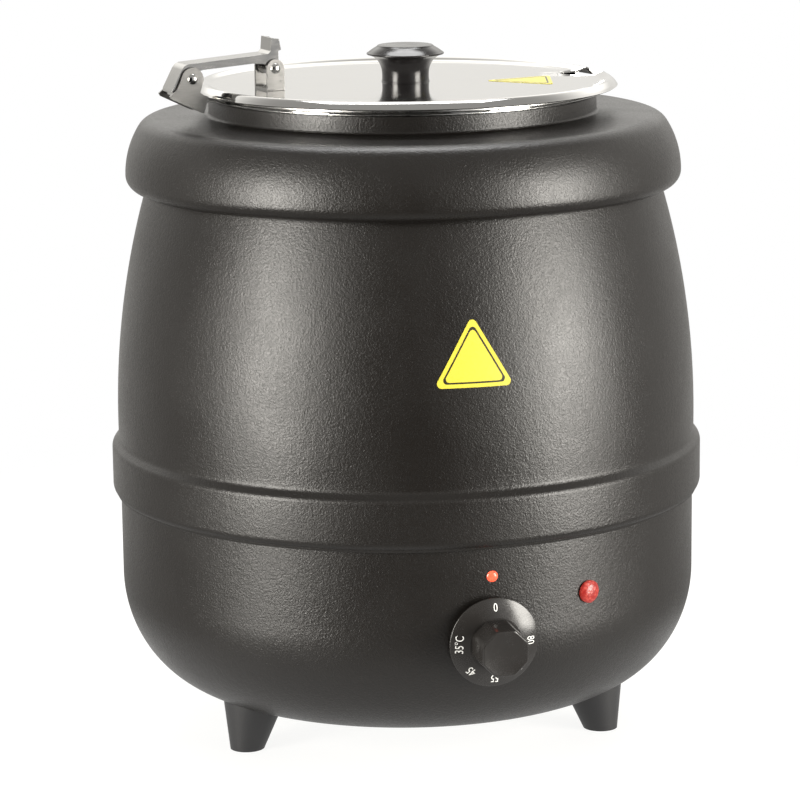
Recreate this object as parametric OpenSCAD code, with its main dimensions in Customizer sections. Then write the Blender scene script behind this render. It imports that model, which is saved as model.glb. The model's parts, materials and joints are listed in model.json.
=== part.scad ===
// Soup kettle: an electric bain-marie with a lift-out pot and a hinged lid.
// The origin is on the kettle's axis, on the surface it stands on. Front is -Y, up is +Z.

/* [Casing] */
// Sheet thickness of the painted casing
casing_t = 1.2; // [1:0.1:1.4]
// Height of the lower bowl's flat underside
bowl_bottom_z = 24; // [23:0.5:25]
// Radius where the bowl's flat underside starts to curve up
bowl_flat_r = 109; // [108:0.5:110]
// Radius of the bowl's upright wall
bowl_r = 165.8; // [165.4:0.1:165.8]
// Height where the bowl's curve becomes upright
bowl_curve_z = 90; // [88:0.5:92]
// Radius of the raised band
band_r = 170.2; // [170:0.1:170.6]
// Greatest radius of the barrel above the band
barrel_r = 166.4; // [166.2:0.1:166.6]
// Radius of the barrel's bulge, seen from the side
barrel_bulge_r = 468; // [460:1:480]
// Radius of the shoulder ring
shoulder_r = 158.4; // [158:0.1:158.8]
// Height of the shoulder's top face
shoulder_z = 352.8; // [352.6:0.1:353]
// Radius of the neck
neck_r = 110.4; // [110.2:0.1:110.6]
// Height of the neck's upper edge
neck_z = 364.4; // [364:0.1:364.6]

/* [Pot and well] */
// Inner radius of the pot's mouth
pot_r = 105.8; // [105.7:0.05:105.9]
// Height of the pot's underside
pot_bottom_z = 82; // [80:1:100]
// Sheet thickness of the stainless parts
steel_t = 1; // [0.8:0.1:1]
// Outer radius of the water well
well_r = 126; // [120:1:128]
// Height of the well's underside
well_bottom_z = 68; // [66:1:72]

/* [Lid] */
// Outer radius of the lid
lid_r = 120.5; // [120:0.1:121]
// Height of the lid's flat panel
lid_z = 371; // [370.8:0.1:371.2]
// How far the lid sits from the neck's axis, away from its hinge
lid_shift = 2.1; // [1.8:0.1:2.4]
// Width of the ladle notch
notch_w = 26; // [22:1:30]
// Radius of the knob where it is widest
knob_r = 22; // [20:0.5:24]

/* [Hinge] */
// Compass angle of the hinge, counted from +X
hinge_az = 203; // [200:1:206]
// Distance from the axis to the fixed pin
arm_pin_u = 129.5; // [129.4:0.1:129.6]
// Height of the fixed pin
arm_pin_z = 380; // [379.9:0.1:380.1]
// Distance from the axis to the lid's pin
lid_pin_u = 80.6; // [80.5:0.1:80.7]
// Height of the lid's pin
lid_pin_z = 383.4; // [383.3:0.1:383.5]
// Radius of both pins
pin_r = 1.95; // [1.93:0.01:1.97]
// Radial clearance of the arm on its pins
pin_gap = 0.05; // [0.03:0.01:0.07]

/* [Dial and lamps] */
// Compass angle of the dial, counted from +X
dial_az = -74.1; // [-76:0.5:-72]
// Height of the dial's centre
dial_z = 86; // [85:0.5:88]
// How far the dial leans to face downwards, in degrees
dial_tilt = 3; // [2:0.5:4]
// Radius of the dial's skirt
skirt_r = 25; // [24:0.1:26]
// Width of the eight-sided grip across its flats
grip_w = 26.6; // [24:0.2:27]
// Radius of the thermostat's shaft
shaft_r = 3; // [2.5:0.1:3.2]
// Height of the index lamp
index_z = 121.8; // [120:0.2:124]
// Compass angle of the pilot lamp
pilot_az = -53.6; // [-56:0.5:-50]
// Height of the pilot lamp
pilot_z = 106; // [104:0.5:108]
// Radius of the pilot lamp's lens
pilot_r = 6.3; // [5.5:0.1:7]

/* [Feet] */
// Radius of the circle on which the feet stand
foot_circle_r = 118.5; // [117:0.5:120]
// Radius of a foot where it meets the surface
foot_r = 9.6; // [9:0.1:11]
// Height at which each foot's screw is seated
foot_seat_z = 11; // [10:0.5:13]

/* [Hidden] */
$fn = 96;

casing = "#393531";
steel = "#c9cac8";
plastic = "#1c1b1b";
lamp_red = "#c81e14";
label_yellow = "#f2df1a";

// The casing's joints
bowl_open_r = 88;
bowl_top_z = 150;
bowl_flange_r = 168.7;
hem_z = 137.4;
band_low_z = 143;
band_roll = 5.6;
band_high_z = 164.5;
barrel_low_z = 172;
barrel_wide_z = 180;
barrel_top_z = 315;
shoulder_low_z = 313;
shoulder_crease_r = 137;
neck_fillet = 2;
neck_mouth_r = 107.4;
neck_foot_z = shoulder_z + 1.4;

// The stack on the neck: the pot's flange, then the lid ring's flange
pot_flange_z = neck_z + steel_t;
ring_z = pot_flange_z + steel_t;
ring_flange_r = 113.8;
ring_r = pot_r - 0.6;
spigot_z = neck_z - 10.5;
pot_foot_r = 101.5;
pot_corner = 14;
well_corner = 10;

// The lid
ridge_r = lid_r - 4;
ridge_z = lid_z + 1.8;
rim_z = lid_z - 2.2;
locating_r = 101;
rest_r = 111.3;
notch_az = 18;
notch_r = 94;
knob_h = 21.4;

// The hinge, as a folded channel: half widths of its sheets
sheet = 1.5;
arm_half = 8.2;
ear_in = 8.5;
ear_out = ear_in + sheet;
ear_r = 6.4;
lid_ear_r = 5.2;
bore_r = pin_r + pin_gap;
head_r = 2.9;
head_t = 1.2;
hinge_x = [cos(hinge_az), sin(hinge_az), 0];

// The dial: distances from the axis, then outwards along the dial's own axis
dial_r = 167;
skirt_low = 0.9;
skirt_rim_t = 1.1;
skirt_high = 5;
skirt_inner_r = 14.6;
grip_high = 23;
hub_r = 10;

// What hangs under the casing
foot_azimuths = [-141.5, -20.5, 99.5];
foot_screw_r = 115.5;
foot_lean = 11;
plate_r = 96;
plate_screws = [30, 150, 270];
plate_screw_r = 92;
vents = 18;

// Heating and electrics
heater_z = well_bottom_z - 8;
element_r = 62;
bulb_az = -40;
bulb_r = well_r + 3.6;
gland_z = 100;
gland_wall_r = 165.4;
gland_thread_r = 7.8;
gland_throat_r = 5.5;
gland_bore_r = 4.2;
terminal_at = [-4, 84, bowl_bottom_z + casing_t];
lead_r = 1.2;
lead_sides = 10;

// The plain triangular labels
label_side = 45;
label_az = -77.1;
label_z = 238.4;
label_t = 0.25;
label_gap = 0.05;

// ---- Outline helpers -------------------------------------------------------

function arc(cx, cy, r, from, to, n = 8) =
    [for (i = [0:n]) let (a = from + (to - from) * i / n) [cx + r * cos(a), cy + r * sin(a)]];

function backwards(p) = [for (i = [len(p) - 1:-1:0]) p[i]];

function unit(v) = v / norm(v);

// Direction from a folded sheet's outer line to its inner line at point i
function fold_side(p, i) =
    let (a = unit(i == 0 ? p[1] - p[0] : p[i] - p[i - 1]))
    let (b = i == len(p) - 1 ? a : unit(p[i + 1] - p[i]))
    let (n = unit([-(a + b)[1], (a + b)[0]]))
    n / (n * [-a[1], a[0]]);

// Cross-section of a folded sheet of thickness t on the left of the line p
function folded(p, t) = concat(p, backwards([for (i = [0:len(p) - 1]) p[i] + t * fold_side(p, i)]));

// A spun shell between two outlines
module spun(outer, inner) {
    rotate_extrude() polygon(concat(outer, backwards(inner)));
}

// Places things on the casing's wall: local +Z points outwards, local -X points up
module on_wall(az, r, z, tilt = 0) {
    rotate([0, 0, az]) translate([r, 0, z]) rotate([0, 90 + tilt, 0]) children();
}

// The hinge's plane: profiles are drawn as [distance from the axis, height]
module hinge_sheet(side, t) {
    rotate([0, 0, hinge_az]) translate([0, side, 0]) rotate([90, 0, 0])
        linear_extrude(t, center = true) children();
}

module hinge_rod(u, z, r, half) {
    rotate([0, 0, hinge_az]) translate([u, 0, z]) rotate([90, 0, 0])
        cylinder(r = r, h = 2 * half, center = true, $fn = 48);
}

module screw(r, head, h, head_h) {
    cylinder(r = r, h = h, $fn = 32);
    translate([0, 0, -head_h]) cylinder(r = head, h = head_h, $fn = 32);
}

// ---- Casing ----------------------------------------------------------------

function bowl_line(t) = concat(
    [[bowl_open_r, bowl_bottom_z + t]],
    [for (i = [0:16]) let (a = -90 + 90 * i / 16)
        [bowl_flat_r + (bowl_r - bowl_flat_r - t) * cos(a),
         bowl_curve_z + (bowl_curve_z - bowl_bottom_z - t) * sin(a)]],
    t > 0 ? [[bowl_r - t, bowl_top_z]]
          : [[bowl_r, bowl_top_z - casing_t], [bowl_flange_r, bowl_top_z - casing_t],
             [bowl_flange_r, bowl_top_z]]);

module lower_bowl() {
    color(casing) difference() {
        spun(bowl_line(0), bowl_line(casing_t));
        on_wall(dial_az, dial_r, dial_z, dial_tilt) translate([0, 0, -12]) cylinder(r = 6, h = 20);
        for (x = [-14, 14])
            on_wall(dial_az, dial_r, dial_z, dial_tilt) translate([x, 0, -12])
                cylinder(r = 2.1, h = 20, $fn = 32);
        on_wall(dial_az, bowl_r - 10, index_z) cylinder(r = 2.6, h = 20);
        on_wall(pilot_az, bowl_r - 10, pilot_z) cylinder(r = 5, h = 20);
        on_wall(90, bowl_r - 10, gland_z) cylinder(r = gland_thread_r + 0.2, h = 20);
        for (a = foot_azimuths)
            rotate([0, 0, a]) translate([foot_screw_r, 0, 0]) cylinder(r = 2.2, h = 40, $fn = 32);
        for (a = plate_screws)
            rotate([0, 0, a]) translate([plate_screw_r, 0, 0]) cylinder(r = 1.8, h = 40, $fn = 32);
    }
}

function barrel_at(z) = barrel_r - barrel_bulge_r + sqrt(pow(barrel_bulge_r, 2) - pow(z - barrel_wide_z, 2));

function upper_line(t) = concat(
    [[bowl_r + 1.4 - t, hem_z]],
    arc(band_r - band_roll - t, band_low_z, band_roll, -60, 0, 8),
    arc(band_r - 3 - t, band_high_z, 3, 0, 50, 4),
    arc(barrel_r + 2.6 - t, barrel_low_z - 1.2, 2.6, 215, 180, 3),
    [for (z = [barrel_wide_z:9:barrel_top_z]) [barrel_at(z) - t, z]]);

module upper_barrel() {
    color(casing) spun(upper_line(0), upper_line(casing_t));
}

function shoulder_line(t) = concat(
    [[147.6, shoulder_low_z + t]],
    arc(shoulder_r - 8, shoulder_low_z + 8, 8 - t, -90, 0, 8),
    arc(shoulder_r - 50, shoulder_low_z + 8, 50 - t, 2, 32.7, 8),
    arc(shoulder_r - 16.7, shoulder_z - 10.4, 10.4 - t, 38, 90, 8),
    [[shoulder_crease_r, shoulder_z - t]],
    arc(neck_r + neck_fillet, neck_foot_z + neck_fillet, neck_fillet + t, 270, 180, 5),
    [[neck_r - t, neck_z - t]],
    t > 0 ? [] : [[neck_r, neck_z]],
    [[neck_mouth_r, neck_z - t]]);

module shoulder_ring() {
    color(casing) spun(shoulder_line(0), shoulder_line(casing_t));
}

// Height of the shoulder's underside, where the well hangs from it
function hang_z(r) = shoulder_z - casing_t
    + (neck_foot_z - shoulder_z) * (shoulder_crease_r - r) / (shoulder_crease_r - neck_r - neck_fillet);

function well_line(t) = concat(
    [[0, well_bottom_z + t]],
    arc(well_r - well_corner, well_bottom_z + well_corner, well_corner - t, -90, 0, 6),
    t > 0 ? [[well_r - t, hang_z(well_r - t)]]
          : [[well_r, hang_z(well_r) - 1.5], [shoulder_crease_r - 1, hang_z(shoulder_crease_r - 1) - 1.5],
             [shoulder_crease_r - 1, hang_z(shoulder_crease_r - 1)]]);

module water_well() {
    color(steel) spun(well_line(0), well_line(steel_t));
}

module insulation_sleeve() {
    color("#e6dfc4") difference() {
        translate([0, 0, 155]) cylinder(r = 143, h = 145);
        translate([0, 0, 150]) cylinder(r = well_r + 0.4, h = 160);
    }
}

module bottom_plate() {
    color("#8f918f") difference() {
        translate([0, 0, bowl_bottom_z - casing_t]) cylinder(r = plate_r, h = casing_t);
        for (i = [0:vents - 1])
            rotate([0, 0, i * 360 / vents]) translate([48, -2, bowl_bottom_z - 5]) cube([28, 4, 8]);
        for (a = plate_screws)
            rotate([0, 0, a]) translate([plate_screw_r, 0, 0]) cylinder(r = 2, h = 40, $fn = 32);
    }
}

module bottom_plate_screws() {
    color(steel) for (a = plate_screws)
        rotate([0, 0, a]) translate([plate_screw_r, 0, bowl_bottom_z - casing_t])
            screw(1.75, 3.4, 8, 1.8);
}

// ---- Feet ------------------------------------------------------------------

module bowl_solid() {
    rotate_extrude() polygon(concat([[0, bowl_bottom_z]], bowl_line(0), [[0, bowl_top_z]]));
}

module foot(a) {
    color(plastic) difference() {
        intersection() {
            rotate([0, 0, a]) translate([foot_circle_r, 0, 0]) rotate([0, -foot_lean, 0])
                translate([0, 0, -4]) cylinder(r1 = foot_r - 1.1, r2 = 19.6, h = 40, $fn = 64);
            cylinder(r = bowl_r, h = 36);
        }
        bowl_solid();
        rotate([0, 0, a]) translate([foot_screw_r, 0, -1]) cylinder(r = 4.4, h = foot_seat_z + 1, $fn = 48);
        rotate([0, 0, a]) translate([foot_screw_r, 0, 0]) cylinder(r = 2.2, h = 40, $fn = 32);
    }
}

module foot_left() {
    foot(foot_azimuths[0]);
}

module foot_right() {
    foot(foot_azimuths[1]);
}

module foot_rear() {
    foot(foot_azimuths[2]);
}

module foot_screws() {
    color(steel) for (a = foot_azimuths)
        rotate([0, 0, a]) translate([foot_screw_r, 0, foot_seat_z]) screw(2, 3.9, 22, 2.4);
}

module foot_nuts() {
    color(steel) for (a = foot_azimuths)
        rotate([0, 0, a]) translate([foot_screw_r, 0, bowl_bottom_z + 2.7]) difference() {
            cylinder(r = 4, h = 3.2, $fn = 6);
            translate([0, 0, -1]) cylinder(r = 2, h = 6, $fn = 32);
        }
}

// ---- Heating and electrics -------------------------------------------------

module heater_plate() {
    color("#b9bcc0") difference() {
        translate([0, 0, heater_z]) cylinder(r = 88, h = 8);
        translate([0, 0, heater_z]) rotate_extrude() translate([element_r, 0]) circle(r = 4.2, $fn = 32);
        translate([0, 0, heater_z - 1]) cylinder(r = 3, h = 5, $fn = 32);
    }
}

module heating_element() {
    color("#6d6a66") {
        translate([0, 0, heater_z]) rotate([0, 0, -60])
            rotate_extrude(angle = 300) translate([element_r, 0]) circle(r = 4, $fn = 32);
        for (a = [-55, 235])
            rotate([0, 0, a]) translate([element_r, 0, heater_z - 22]) cylinder(r = 3, h = 22, $fn = 32);
    }
}

module heater_clamp() {
    color("#8f918f") {
        for (a = [0, 120])
            rotate([0, 0, a]) translate([54, -7, heater_z - 5.6]) cube([16, 14, 1.6]);
        translate([0, 0, heater_z - 5.6]) difference() {
            cylinder(r = 56, h = 1.6);
            translate([0, 0, -1]) cylinder(r = 40, h = 4);
        }
        for (a = [60, 180, 300])
            rotate([0, 0, a]) translate([48, 0, heater_z - 4]) cylinder(r = 3, h = 4, $fn = 32);
    }
}

module thermal_cutout() {
    color("#d8d4ca") {
        translate([0, 26, heater_z - 10]) cylinder(r = 8, h = 10);
        for (x = [-4, 4])
            translate([x - 0.4, 23, heater_z - 18]) cube([0.8, 6, 8]);
    }
}

module thermostat_body() {
    color("#c9c3b4") on_wall(dial_az, dial_r, dial_z, dial_tilt) difference() {
        union() {
            translate([-16, -15, -36]) cube([32, 30, 30]);
            translate([0, 0, -6]) cylinder(r = 5.4, h = 6.6, $fn = 48);
        }
        translate([0, 0, -12]) cylinder(r = shaft_r + 0.05, h = 14, $fn = 48);
        for (x = [-14, 14])
            translate([x, 0, -11]) cylinder(r = 1.8, h = 8, $fn = 32);
    }
}

module thermostat_screws() {
    color(steel) on_wall(dial_az, dial_r, dial_z, dial_tilt) for (x = [-14, 14])
        translate([x, 0, x > 0 ? -2 : -1.7]) mirror([0, 0, 1]) screw(1.75, 3.2, 8.7, 1.5);
}

module thermostat_bulb() {
    color("#b87a4a") rotate([0, 0, bulb_az]) {
        translate([bulb_r, 0, 84]) cylinder(r = 3, h = 60, $fn = 32);
        translate([bulb_r, 0, 74.4]) cylinder(r = 1.4, h = 10.6, $fn = 32);
        translate([0, 0, 76]) rotate([0, 0, -30])
            rotate_extrude(angle = 30) translate([bulb_r, 0]) circle(r = 0.9, $fn = 24);
    }
}

module terminal_block() {
    color("#efece2") difference() {
        translate(terminal_at) cube([42, 18, 14]);
        for (x = [7, 21, 35])
            translate(terminal_at + [x, 9, 7]) cylinder(r = 2.4, h = 10, $fn = 32);
    }
}

module earth_stud() {
    color("#b08d3e") translate([-60, 80, bowl_bottom_z + casing_t]) {
        cylinder(r = 2, h = 14, $fn = 32);
        cylinder(r = 4, h = 3, $fn = 6);
    }
}

module cable_gland() {
    color(plastic) on_wall(90, gland_wall_r, gland_z) difference() {
        union() {
            translate([0, 0, -12]) cylinder(r = gland_thread_r, h = 13, $fn = 64);
            translate([0, 0, 0.4]) cylinder(r = 12.5 / cos(30), h = 5, $fn = 6);
        }
        translate([0, 0, -14]) cylinder(r = gland_throat_r, h = 24, $fn = 64);
    }
}

module gland_cap() {
    color(plastic) on_wall(90, gland_wall_r, gland_z) difference() {
        translate([0, 0, 5.4]) cylinder(r1 = 11.5, r2 = 8, h = 15.4, $fn = 64);
        cylinder(r = gland_bore_r, h = 30, $fn = 64);
    }
}

module gland_nut() {
    color(plastic) on_wall(90, gland_wall_r, gland_z) difference() {
        translate([0, 0, -6.2]) cylinder(r = 12, h = 5, $fn = 6);
        translate([0, 0, -12]) cylinder(r = gland_thread_r + 0.05, h = 12, $fn = 64);
    }
}

// Ring of points round point i of the line p, square to the line there
function lead_ring(p, i) =
    let (a = unit(p[max(i, 1)] - p[max(i, 1) - 1]))
    let (b = unit(p[min(i, len(p) - 2) + 1] - p[min(i, len(p) - 2)]))
    let (d = unit(a + b))
    let (side = unit(cross(d, [0, 0, 1])))
    [for (k = [0:lead_sides - 1]) let (t = 360 * k / lead_sides)
        p[i] + lead_r * (cos(t) * side + sin(t) * cross(side, d))];

// An insulated lead along the line p, which never runs straight up
module lead(p) {
    n = lead_sides;
    polyhedron(
        points = [for (i = [0:len(p) - 1]) each lead_ring(p, i)],
        faces = concat(
            [[for (k = [n - 1:-1:0]) k]],
            [for (i = [0:len(p) - 2], k = [0:n - 1])
                [i * n + k, i * n + (k + 1) % n, (i + 1) * n + (k + 1) % n, (i + 1) * n + k]],
            [[for (k = [0:n - 1]) (len(p) - 1) * n + k]]));
}

module internal_wires() {
    color("#6b4a2c") lead([[3, 83.6, 34], [0, 40, 34], [12, -60, 40], [26, -118, 60], [27.6, -126.3, 76]]);
    color("#6b4a2c") lead([[35.3, -124.1, 76], [36, -112, 60], [46, -40, 46], [16, 24, 44], [4.8, 26, 44]]);
    color("#b8322a") lead([[-4.8, 26, 44], [-16, 20, 42], [-35.6, -30, 42], [-35.6, -47.8, 44]]);
    color("#3a5fb0") lead([[17, 83.5, 34], [30, 40, 42], [35.6, -30, 42], [35.6, -47.8, 44]]);
    color("#6a8f3a") lead([[31, 83.1, 34], [24, 74, 40], [-30, 70, 34], [-56.5, 78.5, 34]]);
}

module index_lamp() {
    color(lamp_red) on_wall(dial_az, bowl_r, index_z) {
        translate([0, 0, -14]) cylinder(r = 2.5, h = 15, $fn = 48);
        translate([0, 0, 0.1]) cylinder(r1 = 3.2, r2 = 2.6, h = 1.4, $fn = 48);
    }
}

module pilot_lamp() {
    color(lamp_red) on_wall(pilot_az, bowl_r, pilot_z) {
        translate([0, 0, -22]) cylinder(r = 4.9, h = 23, $fn = 48);
        translate([0, 0, 0.2]) cylinder(r = pilot_r, h = 1.6, $fn = 64);
        translate([0, 0, 1.8]) cylinder(r1 = pilot_r - 0.3, r2 = pilot_r - 1.6, h = 2, $fn = 64);
    }
}

module pilot_lamp_nut() {
    color(steel) on_wall(pilot_az, bowl_r, pilot_z) difference() {
        translate([0, 0, -4]) cylinder(r = 8, h = 2.4, $fn = 6);
        translate([0, 0, -9]) cylinder(r = 4.95, h = 9, $fn = 48);
    }
}

// ---- Labels ------------------------------------------------------------------

module label_outline(side) {
    r = side / sqrt(3);
    hull() for (a = [90, 210, 330])
        translate([(r - 5) * cos(a), (r - 5) * sin(a)]) circle(r = 2.5, $fn = 32);
}

module front_sticker() {
    sheet_line = [for (z = [barrel_wide_z:9:barrel_top_z]) [barrel_at(z) + label_gap, z]];
    color(label_yellow) intersection() {
        spun([for (p = sheet_line) p + [label_t, 0]], sheet_line);
        rotate([0, 0, label_az + 90]) translate([0, -150, label_z]) rotate([90, 0, 0])
            linear_extrude(40) label_outline(label_side);
    }
}

// ---- Dial --------------------------------------------------------------------

module dial_skirt() {
    color(plastic) on_wall(dial_az, dial_r, dial_z, dial_tilt) difference() {
        union() {
            translate([0, 0, skirt_low]) cylinder(r = skirt_r, h = skirt_rim_t, $fn = 96);
            translate([0, 0, skirt_low + skirt_rim_t])
                cylinder(r1 = skirt_r, r2 = skirt_inner_r, h = skirt_high - skirt_low - skirt_rim_t, $fn = 96);
        }
        cylinder(r = hub_r, h = 10, $fn = 64);
    }
}

module dial_grip() {
    color(plastic) on_wall(dial_az, dial_r, dial_z, dial_tilt) difference() {
        union() {
            translate([0, 0, skirt_low]) cylinder(r = hub_r, h = skirt_high - skirt_low, $fn = 64);
            translate([0, 0, skirt_high]) rotate([0, 0, 22.5])
                cylinder(r = grip_w / 2 / cos(22.5), h = grip_high - skirt_high, $fn = 8);
        }
        cylinder(r = shaft_r, h = 15, $fn = 48);
    }
}

module thermostat_shaft() {
    color(steel) on_wall(dial_az, dial_r, dial_z, dial_tilt)
        translate([0, 0, -10]) cylinder(r = shaft_r, h = 25, $fn = 48);
}

// ---- Pot and lid ring ----------------------------------------------------------

function pot_line(t) = concat(
    [[0, pot_bottom_z + t]],
    arc(pot_foot_r - pot_corner, pot_bottom_z + pot_corner, pot_corner - t, -90, 0, 6),
    t > 0 ? [[pot_r, pot_flange_z]]
          : [[pot_r + steel_t, neck_z - 1.6], [pot_r + steel_t, neck_z], [neck_r - 0.2, neck_z],
             [neck_r - 0.2, pot_flange_z]]);

module soup_pot() {
    color(steel) spun(pot_line(0), pot_line(steel_t));
}

module lid_ring() {
    color(steel) rotate_extrude() polygon([
        [ring_r - steel_t, spigot_z], [ring_r, spigot_z], [ring_r, pot_flange_z],
        [ring_flange_r, pot_flange_z], [ring_flange_r, ring_z], [ring_r - steel_t, ring_z]]);
}

// ---- Hinge -----------------------------------------------------------------------

// Outline of a fixed ear, as [distance from the axis, height]
ear_line = concat(
    arc(arm_pin_u, arm_pin_z, ear_r, 10, 188, 10),
    [[arm_pin_u - 4.3, 372.4], [arm_pin_u - 6.3, 370.9], [arm_pin_u - 9.1, 369.9],
     [arm_pin_u - 6.2, 360.8], [arm_pin_u - 4.8, 361.2], [arm_pin_u + 12.6, 369.6],
     [arm_pin_u + 13.5, 371.2], [arm_pin_u + 9.4, 374.6]]);

// The strap between the ears: it lies on the ring's flange, then folds down
strap_line = [[ring_r, ring_z], [arm_pin_u - 8.3, ring_z], [arm_pin_u - 6.5, 361.6]];

module hinge_bracket() {
    color(steel) {
        for (side = [-1, 1]) difference() {
            hinge_sheet(side * (ear_in + sheet / 2), sheet) polygon(ear_line);
            hinge_rod(arm_pin_u, arm_pin_z, pin_r, ear_out + 2);
        }
        hinge_sheet(0, 2 * ear_in) polygon(folded(strap_line, 1.2));
    }
}

module riveted_pin(u, z) {
    hinge_rod(u, z, pin_r, ear_out + 0.3);
    for (side = [-1, 1])
        rotate([0, 0, hinge_az]) translate([u, side * (ear_out + head_t / 2), z]) rotate([90, 0, 0])
            cylinder(r = head_r, h = head_t, center = true, $fn = 48);
}

module arm_pin() {
    color(steel) riveted_pin(arm_pin_u, arm_pin_z);
}

// Outer line of the arm's folded web: from its upstanding stop over to its tail
web_line = [[lid_pin_u + 1.4, 400.2], [lid_pin_u + 2, 393], [lid_pin_u + 3.6, 391.5],
            [arm_pin_u + 1.8, 388.2], [arm_pin_u + 4, 387.2], [arm_pin_u + 5.6, 385.2],
            [arm_pin_u + 11.3, 374.5], [arm_pin_u + 11.5, 372.6], [arm_pin_u + 10.8, 371.2]];

// Outline of the arm's side flanges, with a lobe round each pin
flange_line = concat(
    [for (i = [0:6]) web_line[i]],
    [[arm_pin_u + 9.6, 374.6], [arm_pin_u + 5, 379]],
    arc(arm_pin_u, arm_pin_z, 5, -10, -175, 8),
    [[arm_pin_u - 4, 384], [arm_pin_u - 7, 384.6], [lid_pin_u + 12.6, 386.6], [lid_pin_u + 6, 386]],
    arc(lid_pin_u, lid_pin_z, 4.4, 20, -190, 9),
    [[lid_pin_u - 2.5, 388.5], [lid_pin_u - 2.5, 393], [lid_pin_u - 4.1, 393.5], [lid_pin_u - 3, 399.6]]);

module hinge_arm() {
    color(steel) {
        for (side = [-1, 1]) difference() {
            hinge_sheet(side * (arm_half - sheet / 2), sheet) polygon(flange_line);
            hinge_rod(arm_pin_u, arm_pin_z, bore_r, ear_out);
            hinge_rod(lid_pin_u, lid_pin_z, bore_r, ear_out);
        }
        hinge_sheet(0, 2 * arm_half) polygon(folded(backwards(web_line), sheet));
    }
}

// ---- Lid ---------------------------------------------------------------------------

module in_lid() {
    translate(-lid_shift * hinge_x) children();
}

module ladle_notch(low, high) {
    rotate([0, 0, notch_az]) translate([notch_r + notch_w / 2, 0, low]) {
        cylinder(r = notch_w / 2, h = high - low);
        translate([0, -notch_w / 2, 0]) cube([30, notch_w, high - low]);
    }
}

function lid_line(t) = concat(
    [[0, lid_z - t], [109, lid_z - t]],
    arc(ridge_r - 1.2, ridge_z - 2.4, 2.4 - t, 105, 45, 5),
    [[lid_r - 0.9 - t * 0.7, rim_z + 1.4 - t * 0.5], [lid_r - t, rim_z]]);

module lid_panel() {
    color(steel) in_lid() difference() {
        spun(lid_line(0), lid_line(steel_t));
        ladle_notch(lid_z - 10, lid_z + 10);
        translate([0, 0, lid_z - 5]) cylinder(r = 2.7, h = 10, $fn = 48);
    }
}

module lid_locating_ring() {
    color(steel) in_lid() difference() {
        rotate_extrude() polygon([
            [locating_r - 1, 358], [locating_r, 358], [locating_r, ring_z + 0.05], [rest_r, ring_z + 0.05],
            [rest_r, lid_z - steel_t + 0.4], [rest_r - 2.3, lid_z - steel_t], [rest_r - 2.3, ring_z + 1.1],
            [locating_r - 1, ring_z + 1.1]]);
        ladle_notch(350, lid_z + 10);
        rotate([0, 0, hinge_az]) translate([95, -11, 350]) cube([30, 22, 30]);
    }
}

lid_ear_line = concat(
    arc(lid_pin_u, lid_pin_z, lid_ear_r, 0, 180, 10),
    [[lid_pin_u - lid_ear_r, lid_z], [lid_pin_u + lid_ear_r, lid_z]]);

module lid_bracket() {
    color(steel) {
        for (side = [-1, 1]) difference() {
            hinge_sheet(side * (ear_in + sheet / 2), sheet) polygon(lid_ear_line);
            hinge_rod(lid_pin_u, lid_pin_z, pin_r, ear_out + 2);
        }
        difference() {
            rotate([0, 0, hinge_az]) translate([lid_pin_u - lid_ear_r, -ear_out, lid_z])
                cube([2 * lid_ear_r, 2 * ear_out, 1.2]);
            for (side = [-1, 1])
                rotate([0, 0, hinge_az]) translate([lid_pin_u, side * 4.5, lid_z - 1])
                    cylinder(r = 1.6, h = 4, $fn = 32);
        }
    }
}

module lid_bracket_rivets() {
    color(steel) rotate([0, 0, hinge_az]) for (side = [-1, 1])
        translate([lid_pin_u, side * 4.5, 0]) {
            translate([0, 0, lid_z]) cylinder(r = 1.6, h = 1.2, $fn = 32);
            translate([0, 0, lid_z + 1.2]) cylinder(r1 = 2.8, r2 = 1.8, h = 1, $fn = 32);
        }
}

module lid_pin() {
    color(steel) riveted_pin(lid_pin_u, lid_pin_z);
}

module lid_knob() {
    color(plastic) in_lid() difference() {
        translate([0, 0, lid_z]) rotate_extrude() polygon(concat(
            [[0, 0], [13.7, 0]],
            [[13.4, 2.5], [13.4, 5], [13.8, 7.6], [14.7, 10], [16, 12], [18.2, 14]],
            arc(knob_r - 0.6, 15.9, 0.6, -60, 50, 4),
            [[14.8, knob_h - 0.5]],
            arc(13.6, knob_h - 0.8, 0.7, 60, 90, 2),
            [[0, knob_h + 0.2]]));
        translate([0, 0, lid_z - 1]) cylinder(r = 2.5, h = 13, $fn = 48);
    }
}

module knob_screw() {
    color(steel) in_lid() {
        translate([0, 0, lid_z - steel_t - 3.4]) cylinder(r = 4.6, h = 2.6, $fn = 48);
        translate([0, 0, lid_z - steel_t - 3]) cylinder(r = 2.5, h = 14, $fn = 48);
    }
}

module knob_washer() {
    color(steel) in_lid() translate([0, 0, lid_z - steel_t - 0.8]) difference() {
        cylinder(r = 8, h = 0.8, $fn = 64);
        translate([0, 0, -1]) cylinder(r = 2.5, h = 3, $fn = 48);
    }
}

module lid_sticker() {
    color(label_yellow) translate([72, -2, lid_z]) rotate([0, 0, 90])
        linear_extrude(label_t) label_outline(label_side);
}

lower_bowl();
upper_barrel();
shoulder_ring();
water_well();
insulation_sleeve();
heater_plate();
heating_element();
heater_clamp();
thermal_cutout();
thermostat_body();
thermostat_bulb();
thermostat_screws();
index_lamp();
pilot_lamp();
pilot_lamp_nut();
bottom_plate();
bottom_plate_screws();
foot_left();
foot_right();
foot_rear();
foot_screws();
foot_nuts();
terminal_block();
earth_stud();
cable_gland();
gland_cap();
gland_nut();
internal_wires();
front_sticker();
dial_skirt();
dial_grip();
thermostat_shaft();
soup_pot();
lid_ring();
hinge_bracket();
arm_pin();
hinge_arm();
lid_panel();
lid_locating_ring();
lid_bracket();
lid_bracket_rivets();
lid_pin();
lid_knob();
knob_screw();
knob_washer();
lid_sticker();
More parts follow.
